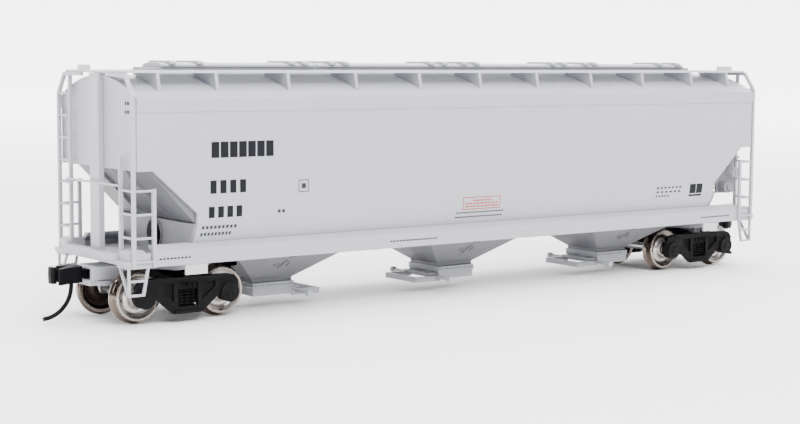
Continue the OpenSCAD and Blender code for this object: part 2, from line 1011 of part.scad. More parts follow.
// Cast side frame: top chord, sloping lower chord, three windows, journals
module side_frame() {
    difference() {
        union() {
            translate([0, frame_in_y + frame_t / 2, 0])
                across_car(frame_t)
                    difference() {
                        polygon(mirrored([
                            [0, up(1.45)], [3.5, up(1.45)], [8.1, up(5.3)], [8.9, up(4)],
                            [11.8, up(4)], [12.5, up(4.7)], [12.5, up(7.7)], [11.5, up(8.9)],
                            [10, up(9.3)], [0, up(9.3)]
                        ]));
                        polygon(mirrored([[2.4, up(2.9)], [2.4, up(8)]]));
                        for (side = [-1, 1])
                            polygon([
                                [side * 3.5, up(4.1)], [side * 6.7, up(6.7)],
                                [side * 6.7, up(8)], [side * 3.5, up(8)]
                            ]);
                    }
            for (side = [-1, 1])
                translate([side * half_base, frame_in_y - 1, axle_z])
                    rotate([-90, 0, 0])
                        cylinder(r = journal_r, h = frame_t + 1.5, $fn = 40);
            // thin web that closes the two side windows
            for (side = [-1, 1])
                translate([0, frame_in_y + 0.2, 0])
                    across_car(0.4)
                        polygon([
                            [side * 3.3, up(3.9)], [side * 6.9, up(6.7)],
                            [side * 6.9, up(8.2)], [side * 3.3, up(8.2)]
                        ]);
            // raised ribs along the chords
            translate([0, frame_in_y + frame_t + 0.2, 0])
                across_car(0.4) {
                    polygon(mirrored([[0, up(8.7)], [9.4, up(8.7)], [10, up(9.3)], [0, up(9.3)]]));
                    polygon(mirrored([[0, up(1.45)], [3.5, up(1.45)], [3.2, up(2.1)], [0, up(2.1)]]));
                }
            // ledge that the springs stand on, and the shield behind them
            block([-2.4, frame_in_y - 0.8, up(1.45)], [2.4, frame_in_y + eps, up(2.9)]);
            block([-2.4, frame_in_y - 0.8, up(2.8)], [2.4, frame_in_y - 0.5, bolster_low_z - 0.1]);
        }
        for (side = [-1, 1])
            translate([side * half_base, 0, axle_z])
                rotate([-90, 0, 0]) {
                    translate([0, 0, tip_y + fit_gap - cone_len])
                        cylinder(r1 = cone_r + fit_gap, r2 = tip_r + fit_gap, h = cone_len, $fn = 32);
                    cylinder(r = cone_r + fit_gap, h = tip_y + fit_gap - cone_len + eps, $fn = 32);
                }
    }
}

module truck_sideframes(x) {
    color(black_c)
        translate([x, 0, 0])
            both_sides()
                side_frame();
}

// Three spring groups in each side frame's window
module truck_springs(x) {
    low_z = up(2.9);
    turns = 5;
    pitch = (bolster_low_z - low_z) / turns;
    wire_r = pitch / 2;
    color(black_c)
        translate([x, 0, 0])
            both_sides()
                for (sx = [-1.5, 0, 1.5])
                    translate([sx, frame_in_y + 0.3, low_z])
                        rotate_extrude($fn = 24)
                            polygon(concat(
                                [[0, 0]],
                                [
                                    for (i = [0:turns - 1], k = [0:3])
                                        [0.5 + 0.2 * sin(k * 60), (i + k / 3 * 0.999) * pitch]
                                ],
                                [[0, turns * pitch]]
                            ));
}

// Brake beam across each axle with a shoe behind each wheel
module truck_brake_beams(x) {
    shoe_y = back_to_back / 2 + wheel_w / 2 + 0.3;
    color(black_c)
        translate([x, 0, 0])
            both_ends() {
                block([-3.7, -10.4, up(3.5)], [-2.9, 10.4, up(4.3)]);
                both_sides()
                    block([-4.1, shoe_y - 0.7, up(3.2)], [-3.1, shoe_y + 0.7, up(6)]);
                both_sides()
                    block([-3.4, 3.8, up(4.3)], [-2.9, 4.6, bolster_low_z]);
                both_sides()
                    block([-3.4, 3.8, bolster_low_z], [-2.4, 4.6, bolster_low_z + 0.8]);
            }
}

module truck_a_bolster() truck_bolster(-truck_x);
module truck_a_sideframes() truck_sideframes(-truck_x);
module truck_a_springs() truck_springs(-truck_x);
module truck_a_brake_beams() truck_brake_beams(-truck_x);
module truck_b_bolster() truck_bolster(truck_x);
module truck_b_sideframes() truck_sideframes(truck_x);
module truck_b_springs() truck_springs(truck_x);
module truck_b_brake_beams() truck_brake_beams(truck_x);

// ---------------------------------------------------------------- wheelsets

function axle_x(i) = (i < 2 ? -truck_x : truck_x) + (i % 2 == 0 ? -half_base : half_base);

// One wheel turned from a (radius, width) outline; width 0 is its back face
module wheel() {
    tread_r = tread_d / 2;
    flange_r = tread_r + flange_h;
    rim_in_r = tread_r - 0.85;
    rotate_extrude($fn = 72)
        polygon([
            [axle_r, 0],
            [2.3, 0],
            [2.6, 0.5],
            [rim_in_r - 0.3, 0.6],
            [rim_in_r, 0],
            [flange_r - 0.5, 0],
            [flange_r - 0.1, 0.2],
            [flange_r, 0.42],
            [flange_r - 0.2, 0.65],
            [tread_r + 0.15, 0.85],
            [tread_r, 1.1],
            [tread_r - 0.04, wheel_w - 0.15],
            [tread_r - 0.2, wheel_w],
            [rim_in_r, wheel_w],
            [rim_in_r - 0.15, wheel_w - 0.9],
            [3.1, wheel_w - 1.35],
            [2.2, wheel_w - 0.75],
            [1.9, wheel_w - 0.1],
            [axle_r, wheel_w - 0.1]
        ]);
}

module wheel_pair(i) {
    color(metal_c)
        translate([axle_x(i), 0, axle_z])
            both_sides()
                translate([0, back_to_back / 2, 0])
                    rotate([-90, 0, 0])
                        wheel();
}

// Axle with needle points, turned about Y
module axle(i) {
    half = [
        [0, tip_y],
        [tip_r, tip_y],
        [cone_r, tip_y - cone_len],
        [cone_r, back_to_back / 2 + wheel_w + 0.4],
        [axle_r, back_to_back / 2 + wheel_w + 0.2],
        [axle_r, back_to_back / 2 - 0.6],
        [0.95, back_to_back / 2 - 0.8]
    ];
    color(metal_c)
        translate([axle_x(i), 0, axle_z])
            rotate([90, 0, 0])
                rotate_extrude($fn = 32)
                    polygon(concat(half, [for (k = [len(half) - 1:-1:0]) [half[k].x, -half[k].y]]));
}

module wheels_1() wheel_pair(0);
module wheels_2() wheel_pair(1);
module wheels_3() wheel_pair(2);
module wheels_4() wheel_pair(3);
module axle_1() axle(0);
module axle_2() axle(1);
module axle_3() axle(2);
module axle_4() axle(3);

// ---------------------------------------------------------------- couplers

head_half_h = 1.75;
knuckle_x = 2.9;
knuckle_y = 2;
knuckle_pin_r = 0.5;
// Everything below is drawn with the pulling face at x = 0 and the car at +x.

module at_coupler_a() {
    translate([-coupler_x, 0, coupler_z])
        children();
}

module at_coupler_b() {
    rotate([0, 0, 180])
        at_coupler_a()
            children();
}

// Shank with its pivot ring, and the head with the fixed guard arm
module coupler() {
    ring_x = coupler_x - pivot_x;
    color(black_c) {
        difference() {
            union() {
                translate([0, 0, -0.9])
                    linear_extrude(1.8) {
                        polygon([[6, -1.1], [6, 1.1], [ring_x - 1, 1.1], [ring_x - 1, -1.1]]);
                        translate([ring_x, 0])
                            circle(r = 2.1, $fn = 40);
                    }
                translate([0, 0, -head_half_h])
                    linear_extrude(2 * head_half_h)
                        polygon([
                            [6.8, -1.1],
                            [5.6, -2],
                            [3.4, -2.3],
                            [1.7, -3.2],
                            [0.6, -3.5],
                            [0.35, -3.1],
                            [1.9, -1.7],
                            [3, -0.7],
                            [3.5, 0.3],
                            [4.4, 0.8],
                            [4.4, 2.5],
                            [5.6, 2.2],
                            [6.8, 1.1]
                        ]);
                // upper and lower lugs that hold the knuckle pin
                for (z = [-head_half_h, head_half_h - 0.6])
                    translate([0, 0, z])
                        linear_extrude(0.6)
                            polygon([[4.5, 0.8], [4.5, 2.8], [2.9, 2.9], [2.2, 2.3], [2.2, 1.6], [3, 0.9]]);
            }
            translate([ring_x, 0, -2])
                cylinder(r = pivot_r + fit_gap, h = 4);
        }
        translate([knuckle_x, knuckle_y, -head_half_h])
            cylinder(r = knuckle_pin_r, h = 2 * head_half_h, $fn = 24);
    }
}

// Hinged knuckle with its curled nose
module knuckle() {
    low = -head_half_h + 0.65;
    color(black_c)
        difference() {
            union() {
                translate([0, 0, low])
                    linear_extrude(-2 * low)
                        polygon([
                            [3.9, 1.7],
                            [3.7, 2.6],
                            [2.9, 2.9],
                            [1.6, 2.7],
                            [0.5, 2.2],
                            [0, 1.3],
                            [0, -0.2],
                            [0.5, -0.8],
                            [1.1, -0.7],
                            [1.3, 0],
                            [1.5, 0.9],
                            [2.4, 1.2]
                        ]);
                translate([0, 0, -head_half_h])
                    linear_extrude(2 * head_half_h)
                        polygon([
                            [1.2, 2.2], [0.5, 1.9], [0, 1.2], [0, -0.2],
                            [0.5, -0.8], [1.1, -0.7], [1.3, 0], [1.5, 0.9]
                        ]);
            }
            translate([knuckle_x, knuckle_y, -3])
                cylinder(r = knuckle_pin_r + fit_gap, h = 6, $fn = 24);
        }
}

pin_d = 0.95;
pin_x = 4.7;
pin_bend_r = 6.8;
pin_bend_angle = 87;
// Hose-shaped wire under the head, curving forward over the track
module trip_pin() {
    bend_z = up(7.55) - coupler_z;
    color(black_c)
        translate([pin_x, 0, 0]) {
            translate([0, 0, bend_z])
                cylinder(d = pin_d, h = -head_half_h - bend_z, $fn = 24);
            translate([-pin_bend_r, 0, bend_z])
                rotate([-90, 0, 0])
                    rotate_extrude(angle = pin_bend_angle, $fn = 64)
                        translate([pin_bend_r, 0])
                            circle(d = pin_d, $fn = 24);
        }
}

module coupler_a() at_coupler_a() coupler();
module knuckle_a() at_coupler_a() knuckle();
module trip_pin_a() at_coupler_a() trip_pin();
module coupler_b() at_coupler_b() coupler();
module knuckle_b() at_coupler_b() knuckle();
module trip_pin_b() at_coupler_b() trip_pin();

// ---------------------------------------------------------------- nodes

body_shell();
slope_sheets();
bolster_webs();
end_posts();
side_sills();
end_platform_a();
end_platform_b();
underframe();
hopper_bay_1();
hopper_bay_2();
hopper_bay_3();
gate_frames();
gate_slides();
gate_shafts();
placard_plates();
roof_brackets();
roofwalk_left();
roofwalk_right();
roof_end_walks();
hatch_coaming();
hatch_covers();
hatch_latches();
ladders_full();
ladders_short();
stirrups();
end_handrails();
brake_wheel();
brake_housing();
brake_cylinder();
air_reservoir();
brake_pipes();
draft_boxes();
draft_lids();
lid_screws();
steel_weight();
kingpin_screws();
coupler_springs();
truck_a_bolster();
truck_a_sideframes();
truck_a_springs();
truck_a_brake_beams();
truck_b_bolster();
truck_b_sideframes();
truck_b_springs();
truck_b_brake_beams();
wheels_1();
axle_1();
wheels_2();
axle_2();
wheels_3();
axle_3();
wheels_4();
axle_4();
coupler_a();
knuckle_a();
trip_pin_a();
coupler_b();
knuckle_b();
trip_pin_b();
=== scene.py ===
"""Looks of the three-bay covered hopper car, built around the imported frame."""

import json
import math

import bmesh
import bpy
from mathutils import Matrix, Vector


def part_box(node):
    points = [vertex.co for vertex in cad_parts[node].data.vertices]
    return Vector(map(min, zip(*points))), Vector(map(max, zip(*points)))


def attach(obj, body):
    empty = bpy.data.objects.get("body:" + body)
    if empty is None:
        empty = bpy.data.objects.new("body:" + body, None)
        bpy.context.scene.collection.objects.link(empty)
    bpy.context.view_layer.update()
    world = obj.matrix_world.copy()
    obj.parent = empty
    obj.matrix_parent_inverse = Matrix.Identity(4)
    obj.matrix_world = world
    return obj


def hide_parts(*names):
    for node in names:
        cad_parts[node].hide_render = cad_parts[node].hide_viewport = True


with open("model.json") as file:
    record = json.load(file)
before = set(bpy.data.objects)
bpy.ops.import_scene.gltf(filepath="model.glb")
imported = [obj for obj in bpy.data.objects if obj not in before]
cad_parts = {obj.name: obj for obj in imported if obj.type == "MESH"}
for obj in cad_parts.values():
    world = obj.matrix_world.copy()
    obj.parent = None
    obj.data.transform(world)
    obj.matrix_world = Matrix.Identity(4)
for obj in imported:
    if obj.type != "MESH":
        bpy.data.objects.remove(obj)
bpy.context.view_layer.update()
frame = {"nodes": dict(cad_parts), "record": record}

MM = 0.001
SIDES = (-1, 1)
HALF_WHEELBASE = 10.2
BAY_CENTRES = (-53.25, 0, 53.25)
NODES = frame["nodes"]
SLOTS = {s["node"]: s["material_slot"] for s in frame["record"]["subparts"]}
BODY_OF = {n: b for b, members in frame["record"]["behaviour"]["bodies"].items() for n in members}


def lo(node):
    """Lowest corner of a CAD node, in millimetres."""
    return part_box(node)[0] / MM


def hi(node):
    """Highest corner of a CAD node, in millimetres."""
    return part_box(node)[1] / MM


# ---------------------------------------------------------------- mesh tools, all in millimetres


def add_box(bm, low, high):
    """A closed box between two corners."""
    corners = [
        bm.verts.new((x * MM, y * MM, z * MM))
        for x in (low[0], high[0])
        for y in (low[1], high[1])
        for z in (low[2], high[2])
    ]
    for face in ((0, 1, 3, 2), (4, 6, 7, 5), (0, 4, 5, 1), (2, 3, 7, 6), (0, 2, 6, 4), (1, 5, 7, 3)):
        bm.faces.new([corners[i] for i in face])


def add_prism(bm, outline, start, end, place, material=0):
    """A closed prism: the 2-D outline is put at two depths by place(a, b, depth)."""
    rings = [
        [bm.verts.new(Vector(place(a, b, depth)) * MM) for a, b in outline] for depth in (start, end)
    ]
    count = len(outline)
    faces = [bm.faces.new(rings[0][::-1]), bm.faces.new(rings[1])]
    for i in range(count):
        j = (i + 1) % count
        faces.append(bm.faces.new((rings[0][i], rings[0][j], rings[1][j], rings[1][i])))
    for face in faces:
        face.material_index = material


def add_lathe(bm, outline, centre, axis, steps=48, materials=None):
    """A closed solid of revolution. outline is (radius, distance along axis); it starts and ends at radius 0
    or is a closed loop clear of the axis."""
    turn = Vector((0, 0, 1)).rotation_difference(Vector(axis)).to_matrix()
    centre = Vector(centre)
    loop = outline[0][0] > 0
    rings = []
    for radius, along in outline:
        if radius <= 0:
            rings.append([bm.verts.new((centre + turn @ Vector((0, 0, along))) * MM)])
            continue
        ring = []
        for k in range(steps):
            a = 2 * math.pi * k / steps
            point = Vector((radius * math.cos(a), radius * math.sin(a), along))
            ring.append(bm.verts.new((centre + turn @ point) * MM))
        rings.append(ring)
    pairs = list(range(len(rings) - 1)) + ([len(rings) - 1] if loop else [])
    for i in pairs:
        a, b = rings[i], rings[(i + 1) % len(rings)]
        for k in range(steps):
            m = (k + 1) % steps
            if len(a) == 1:
                face = bm.faces.new((a[0], b[k], b[m]))
            elif len(b) == 1:
                face = bm.faces.new((a[k], b[0], a[m]))
            else:
                face = bm.faces.new((a[k], b[k], b[m], a[m]))
            face.material_index = materials[i] if materials else 0


def add_tube(bm, points, radius, sides):
    """A round bar with closed ends through the points."""
    points = [Vector(p) for p in points]
    rings = []
    last_side = None
    for i, point in enumerate(points):
        before = points[max(i - 1, 0)]
        after = points[min(i + 1, len(points) - 1)]
        way = (after - before).normalized()
        if last_side is None:
            guess = Vector((0, 0, 1)) if abs(way.z) < 0.9 else Vector((1, 0, 0))
            last_side = way.cross(guess).normalized()
        side = (last_side - way * last_side.dot(way)).normalized()
        last_side = side
        up = way.cross(side)
        rings.append(
            [
                bm.verts.new(
                    (point + side * radius * math.cos(a) + up * radius * math.sin(a)) * MM
                )
                for a in (2 * math.pi * k / sides for k in range(sides))
            ]
        )
    for a, b in zip(rings, rings[1:]):
        for k in range(sides):
            m = (k + 1) % sides
            bm.faces.new((a[k], a[m], b[m], b[k]))
    bm.faces.new(rings[0][::-1])
    bm.faces.new(rings[-1])


def dress(obj, bevel, smooth):
    """Smooth shading with sharp edges kept, and a small rounding of the edges."""
    for polygon in obj.data.polygons:
        polygon.use_smooth = True
    obj.data.set_sharp_from_angle(angle=math.radians(smooth))
    if bevel:
        rounding = obj.modifiers.new("edges", "BEVEL")
        rounding.width = bevel * MM
        rounding.segments = 2
        rounding.limit_method = "ANGLE"
        rounding.angle_limit = math.radians(40)
        rounding.use_clamp_overlap = True


def finish_piece(bm, name, materials, body, replaced=(), bevel=0.0, smooth=35, origin=None):
    """Turns a bmesh into a piece that rides on a CAD body."""
    bmesh.ops.recalc_face_normals(bm, faces=bm.faces)
    if origin is not None:
        bmesh.ops.translate(bm, verts=bm.verts, vec=-Vector(origin) * MM)
    mesh = bpy.data.meshes.new(name)
    bm.to_mesh(mesh)
    bm.free()
    obj = bpy.data.objects.new(name, mesh)
    if origin is not None:
        obj.location = Vector(origin) * MM
    bpy.context.scene.collection.objects.link(obj)
    for material in materials if isinstance(materials, (list, tuple)) else [materials]:
        mesh.materials.append(material)
    dress(obj, bevel, smooth)
    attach(obj, body)
    if replaced:
        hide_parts(*replaced)


def refined(node, material, bevel):
    """A copy of a CAD node with its facets merged, its edges rounded and its curves smooth."""
    bm = bmesh.new()
    bm.from_mesh(NODES[node].data)
    bmesh.ops.remove_doubles(bm, verts=bm.verts, dist=0.000002)
    bmesh.ops.dissolve_limit(bm, angle_limit=math.radians(0.6), verts=bm.verts, edges=bm.edges)
    for face in bm.faces:
        face.material_index = 0
    finish_piece(bm, node + "_moulded", material, BODY_OF[node], (node,), bevel, 32)


# ---------------------------------------------------------------- materials


class Nodes:
    """Short names for building a material's node tree."""

    def __init__(self, name):
        self.material = bpy.data.materials.new(name)
        self.material.use_nodes = True
        self.tree = self.material.node_tree
        self.shader = next(n for n in self.tree.nodes if n.type == "BSDF_PRINCIPLED")
        self.place = self.add("ShaderNodeTexCoord").outputs["Object"]

    def add(self, kind, **values):
        node = self.tree.nodes.new(kind)
        for key, value in values.items():
            setattr(node, key, value)
        return node

    def link(self, a, b):
        self.tree.links.new(a, b)

    def noise(self, scale, detail=4.0, rough=0.5):
        node = self.add("ShaderNodeTexNoise")
        node.inputs["Scale"].default_value = scale
        node.inputs["Detail"].default_value = detail
        node.inputs["Roughness"].default_value = rough
        self.link(self.place, node.inputs["Vector"])
        return node.outputs["Fac"]

    def ramp(self, source, stops):
        node = self.add("ShaderNodeValToRGB")
        while len(node.color_ramp.elements) < len(stops):
            node.color_ramp.elements.new(0.5)
        for element, (at, colour) in zip(node.color_ramp.elements, stops):
            element.position = at
            element.color = (*colour, 1)
        self.link(source, node.inputs["Fac"])
        return node.outputs["Color"]

    def spread(self, source, low, high):
        node = self.add("ShaderNodeMapRange")
        node.inputs["From Min"].default_value = 0.3
        node.inputs["From Max"].default_value = 0.7
        node.inputs["To Min"].default_value = low
        node.inputs["To Max"].default_value = high
        self.link(source, node.inputs["Value"])
        return node.outputs["Result"]

    def bump(self, source, height, strength=1.0, under=None):
        node = self.add("ShaderNodeBump")
        node.inputs["Distance"].default_value = height * MM
        node.inputs["Strength"].default_value = strength
        self.link(source, node.inputs["Height"])
        if under is not None:
            self.link(under, node.inputs["Normal"])
        return node.outputs["Normal"]


def tint(colour, factor):
    return tuple(min(1.0, c * factor) for c in colour)


def painted_plastic(name, colour, rough=0.42, mottle=0.03, grain=0.012, specular=0.5):
    """Sprayed paint on moulded plastic: fine spray grain, slow shade changes and uneven gloss."""
    n = Nodes(name)
    slow = n.noise(35, 5, 0.6)
    shade = n.ramp(slow, [(0.3, tint(colour, 1 - mottle)), (0.7, tint(colour, 1 + mottle))])
    n.link(shade, n.shader.inputs["Base Color"])
    n.link(n.spread(n.noise(420, 3), rough - 0.05, rough + 0.06), n.shader.inputs["Roughness"])
    spray = n.bump(n.noise(9000, 2), grain, 0.6)
    n.link(n.bump(n.noise(900, 3), grain * 2.5, 0.35, spray), n.shader.inputs["Normal"])
    n.shader.inputs["Specular IOR Level"].default_value = specular
    return n.material


def cast_black(name, colour, rough=0.5, grain=0.03, specular=0.4):
    """Dark moulded or cast surface with a fine sandy skin."""
    mottle = 0.25
    n = Nodes(name)
    patch = n.noise(260, 6, 0.65)
    shade = n.ramp(patch, [(0.32, tint(colour, 1 - mottle)), (0.68, tint(colour, 1 + mottle))])
    n.link(shade, n.shader.inputs["Base Color"])
    n.link(n.spread(n.noise(700, 4), rough - 0.1, rough + 0.12), n.shader.inputs["Roughness"])
    n.link(n.bump(n.noise(3800, 4, 0.6), grain, 0.8), n.shader.inputs["Normal"])
    n.shader.inputs["Specular IOR Level"].default_value = specular
    return n.material


def turned_metal(name, colour, rough=0.28, axis="Y"):
    """Metal turned on a lathe: fine rings about the piece's own axis and a few stains."""
    ring, mottle = 0.16, 0.12
    n = Nodes(name)
    stain = n.noise(380, 5, 0.6)
    shade = n.ramp(stain, [(0.3, tint(colour, 1 - mottle)), (0.7, tint(colour, 1 + mottle))])
    n.link(shade, n.shader.inputs["Base Color"])
    n.shader.inputs["Metallic"].default_value = 1.0
    n.link(n.spread(n.noise(900, 3), rough - 0.07, rough + 0.1), n.shader.inputs["Roughness"])
    wave = n.add("ShaderNodeTexWave", wave_type="RINGS", rings_direction=axis)
    wave.inputs["Scale"].default_value = 2 * math.pi / (20 * ring * MM)
    wave.inputs["Distortion"].default_value = 0.4
    n.link(n.place, wave.inputs["Vector"])
    n.link(n.bump(wave.outputs["Fac"], 0.006, 0.5), n.shader.inputs["Normal"])
    return n.material


GREY = (0.369, 0.372, 0.408)
shell_paint = painted_plastic("shell_paint", GREY, 0.40, 0.02)
detail_paint = painted_plastic("detail_paint", tint(GREY, 1.02), 0.45, 0.03, 0.015)
# painted shade: slope sheets, hopper bays and bay brackets get the body grey at a third of its brightness,
# standing in for the shade under the car; their real paint is the body grey
under_painted_shade = painted_plastic("under_painted_shade", tint(GREY, 0.34), 0.5, 0.04, 0.02)
# painted shade: bolster webs and brake cylinder get the body grey at half brightness, for the shade they
# stand in
web_painted_shade = painted_plastic("web_painted_shade", tint(GREY, 0.5), 0.5, 0.04, 0.02)
gate_paint = painted_plastic("gate_paint", tint((0.38, 0.385, 0.42), 0.85), 0.5, 0.04, 0.02)
walk_paint = painted_plastic("walk_paint", (0.50, 0.51, 0.53), 0.5, 0.03, 0.015)
truck_black = cast_black("truck_black", (0.0045, 0.0045, 0.005), 0.58, specular=0.09)
coupler_black = cast_black("coupler_black", (0.004, 0.004, 0.005), 0.46, 0.025, specular=0.07)
rim_metal = turned_metal("rim_metal", (0.15, 0.12, 0.10), 0.16)
face_metal = turned_metal("face_metal", (0.50, 0.47, 0.45), 0.3)
back_metal = turned_metal("back_metal", (0.032, 0.024, 0.020), 0.34)
edge_metal = turned_metal("edge_metal", (0.36, 0.31, 0.275), 0.24)
steel = turned_metal("steel", (0.55, 0.55, 0.55), 0.3, axis="Z")
print_dark = painted_plastic("print_dark", (0.006, 0.0065, 0.009), 0.55, 0.1, 0.01, 0.15)
print_soft = painted_plastic("print_soft", (0.03, 0.031, 0.034), 0.55, 0.1, 0.01, 0.15)
print_red = painted_plastic("print_red", (0.42, 0.035, 0.028), 0.55, 0.08, 0.01, 0.2)

# painted shade: these parts have the body's paint and are given the darker greys above for the shade they
# stand in under the car
PAINTED_SHADE_TONES = {"slope_sheets": under_painted_shade, "bolster_webs": web_painted_shade, "brake_cylinder": web_painted_shade}
PAINTED_SHADE_TONES.update({f"hopper_bay_{number}": under_painted_shade for number in (1, 2, 3)})
PAINT = {"shell": shell_paint, "detail": detail_paint, "underside": gate_paint, "walkway": walk_paint}
PAINT.update({"truck": truck_black, "coupler": coupler_black, "bright_steel": steel, "wheel": rim_metal})

# ---------------------------------------------------------------- moulded pieces taken over from the frame

OWN_MESH = {"roofwalk_left", "roofwalk_right", "wheels_1", "wheels_2", "wheels_3", "wheels_4"}
OWN_MESH |= {"truck_a_springs", "truck_b_springs"}
ROUNDING = {
    "body_shell": 0.12,
    "side_sills": 0.12,
    "hatch_covers": 0.15,
    "ladders_full": 0.1,
    "ladders_short": 0.1,
    "stirrups": 0.08,
    "coupler_a": 0.16,
    "coupler_b": 0.16,
    "knuckle_a": 0.16,
    "knuckle_b": 0.16,
    "truck_a_sideframes": 0.14,
    "truck_b_sideframes": 0.14,
    "trip_pin_a": 0.0,
    "trip_pin_b": 0.0,
}
for node in sorted(NODES):
    if node not in OWN_MESH:
        # parts listed above take their painted-shade grey instead of their slot's paint
        paint = PAINTED_SHADE_TONES.get(node, PAINT[SLOTS[node]])
        refined(node, paint, ROUNDING.get(node, 0.07))

# ---------------------------------------------------------------- wheels

WHEEL_Y = hi("wheels_1").y
TREAD_R = 5.25
FLANGE_R = (hi("wheels_1").x - lo("wheels_1").x) / 2
BACK_Y = WHEEL_Y - 2.79


def wheel_outline():
    """(radius, distance from the wheel's back) of a turned wheel, and the material of each stretch."""
    rim_in = TREAD_R - 0.62
    return [
        ((1.2, 0.3), 2),
        ((1.9, 0.3), 2),
        ((2.4, 0.75), 2),
        ((3.2, 0.95), 2),
        ((rim_in - 0.5, 0.8), 2),
        ((rim_in - 0.15, 0.4), 2),
        ((rim_in, 0.12), 2),
        ((rim_in + 0.12, 0.0), 3),
        ((FLANGE_R - 0.5, 0.0), 0),
        ((FLANGE_R - 0.2, 0.1), 0),
        ((FLANGE_R - 0.03, 0.28), 3),
        ((FLANGE_R, 0.42), 3),
        ((FLANGE_R - 0.05, 0.55), 0),
        ((FLANGE_R - 0.25, 0.7), 0),
        ((TREAD_R + 0.2, 0.85), 0),
        ((TREAD_R + 0.05, 0.98), 0),
        ((TREAD_R, 1.15), 0),
        ((TREAD_R - 0.04, 2.6), 0),
        ((TREAD_R - 0.09, 2.72), 3),
        ((TREAD_R - 0.2, 2.79), 3),
        ((rim_in + 0.08, 2.79), 1),
        ((rim_in, 2.72), 1),
        ((rim_in - 0.1, 2.3), 1),
        ((rim_in - 0.32, 1.85), 1),
        ((rim_in - 0.8, 1.5), 1),
        ((3.1, 1.4), 1),
        ((2.6, 1.55), 1),
        ((2.2, 1.95), 1),
        ((2.0, 2.45), 1),
        ((1.88, 2.62), 1),
        ((1.75, 2.68), 1),
        ((1.2, 2.68), 2),
    ]


for number in range(1, 5):
    node = f"wheels_{number}"
    centre = (lo(node) + hi(node)) / 2
    bm = bmesh.new()
    points = [p for p, _ in wheel_outline()]
    stretch = [m for _, m in wheel_outline()]
    for side in SIDES:
        add_lathe(bm, points, (centre.x, side * BACK_Y, centre.z), (0, side, 0), 96, stretch)
    finish_piece(
        bm, f"turned_wheels_{number}", [rim_metal, face_metal, back_metal, edge_metal],
        BODY_OF[node], (node,), 0.0, 38, origin=centre,
    )

# ---------------------------------------------------------------- truck springs and bearing caps

SPRING_TURNS = 5.0
SPRING_WIRE = 0.15
SPRING_COIL = 0.53
SPRING_Y = 12.5
BOLSTER_RIB_Y = 13.1

for end in ("a", "b"):
    body = f"truck_{end}"
    springs = f"truck_{end}_springs"
    low, high = lo(springs), hi(springs)
    mid_x = (low.x + high.x) / 2
    bm = bmesh.new()
    for side in SIDES:
        for shift in (-1.5, 0, 1.5):
            steps = int(SPRING_TURNS * 16)
            y = side * SPRING_Y
            path = [
                (
                    mid_x + shift + SPRING_COIL * math.cos(2 * math.pi * SPRING_TURNS * k / steps),
                    y + SPRING_COIL * math.sin(2 * math.pi * SPRING_TURNS * k / steps),
                    low.z + SPRING_WIRE + (high.z - low.z - 2 * SPRING_WIRE) * k / steps,
                )
                for k in range(steps + 1)
            ]
            add_tube(bm, path, SPRING_WIRE, 8)
    finish_piece(bm, f"coil_springs_{end}", truck_black, body, (springs,), 0.0, 60)

    frame_node = f"truck_{end}_sideframes"
    face_y = hi(frame_node).y
    axle_z = (lo("wheels_1").z + hi("wheels_1").z) / 2
    bm = bmesh.new()
    for side in SIDES:
        for axle in (-HALF_WHEELBASE, HALF_WHEELBASE):
            x = mid_x + axle
            add_lathe(
                bm,
                [(0, 0.1), (0.5, 0.1), (0.62, 0.02), (1.2, 0.02), (1.32, -0.12), (1.32, -0.4), (0, -0.4)],
                (x, side * face_y, axle_z), (0, side, 0), 32,
            )
            for k in range(3):
                a = math.radians(90 + 120 * k)
                add_lathe(
                    bm,
                    [(0, 0.2), (0.16, 0.2), (0.2, 0.16), (0.2, -0.1), (0, -0.1)],
                    (x + 0.88 * math.cos(a), side * face_y, axle_z + 0.88 * math.sin(a)), (0, side, 0), 6,
                )
        # ribs on the bolster's end
        for shift in (-1.3, 0, 1.3):
            x = mid_x + shift
            add_box(
                bm,
                (x - 0.16, min(side * BOLSTER_RIB_Y, side * (BOLSTER_RIB_Y + 0.35)), 7.6),
                (x + 0.16, max(side * BOLSTER_RIB_Y, side * (BOLSTER_RIB_Y + 0.35)), 8.5),
            )
    finish_piece(bm, f"bearing_caps_{end}", truck_black, body, (), 0.03, 35)

# ---------------------------------------------------------------- roofwalk gratings


def grating(name, node):
    """Open walkway grid: one closed solid with square holes, its faces made in a fixed order."""
    low, high = lo(node), hi(node)
    bars_x, bars_y = 150, 7
    bar = 0.55

    def lines(a, b, cells):
        pitch = (b - a - bar) / cells
        values = []
        for i in range(cells + 1):
            values += [a + i * pitch, a + i * pitch + bar]
        return values

    xs = lines(low.x, high.x, bars_x)
    ys = lines(low.y, high.y, bars_y)

    def filled(i, j):
        """Whether the cell between two lines along and two across is part of a bar."""
        return 0 <= i < len(xs) - 1 and 0 <= j < len(ys) - 1 and (i % 2 == 0 or j % 2 == 0)

    bm = bmesh.new()
    top, under = (
        [[bm.verts.new((x * MM, y * MM, z * MM)) for y in ys] for x in xs] for z in (high.z, low.z)
    )
    for i in range(len(xs) - 1):
        for j in range(len(ys) - 1):
            if not filled(i, j):
                continue
            ring = [(i, j), (i + 1, j), (i + 1, j + 1), (i, j + 1)]
            bm.faces.new([top[a][b] for a, b in ring])
            bm.faces.new([under[a][b] for a, b in reversed(ring)])
            beside = [(i, j - 1), (i + 1, j), (i, j + 1), (i - 1, j)]
            for k in range(4):
                if not filled(*beside[k]):
                    (a, b), (c, d) = ring[k], ring[(k + 1) % 4]
                    bm.faces.new((top[a][b], under[a][b], under[c][d], top[c][d]))
    finish_piece(bm, name, walk_paint, "car", (node,), 0.0, 30)


grating("walk_grating_left", "roofwalk_left")
grating("walk_grating_right", "roofwalk_right")

# ---------------------------------------------------------------- side sheets: seams and printed marks

HALF_W = 18.02
BEND_Z = 23.95
BEND_R = 9.7


def side_y(z):
    """Half width of the side sheet at a height."""
    if z >= BEND_Z:
        return HALF_W
    return HALF_W - BEND_R + math.sqrt(BEND_R**2 - (BEND_Z - z) ** 2)


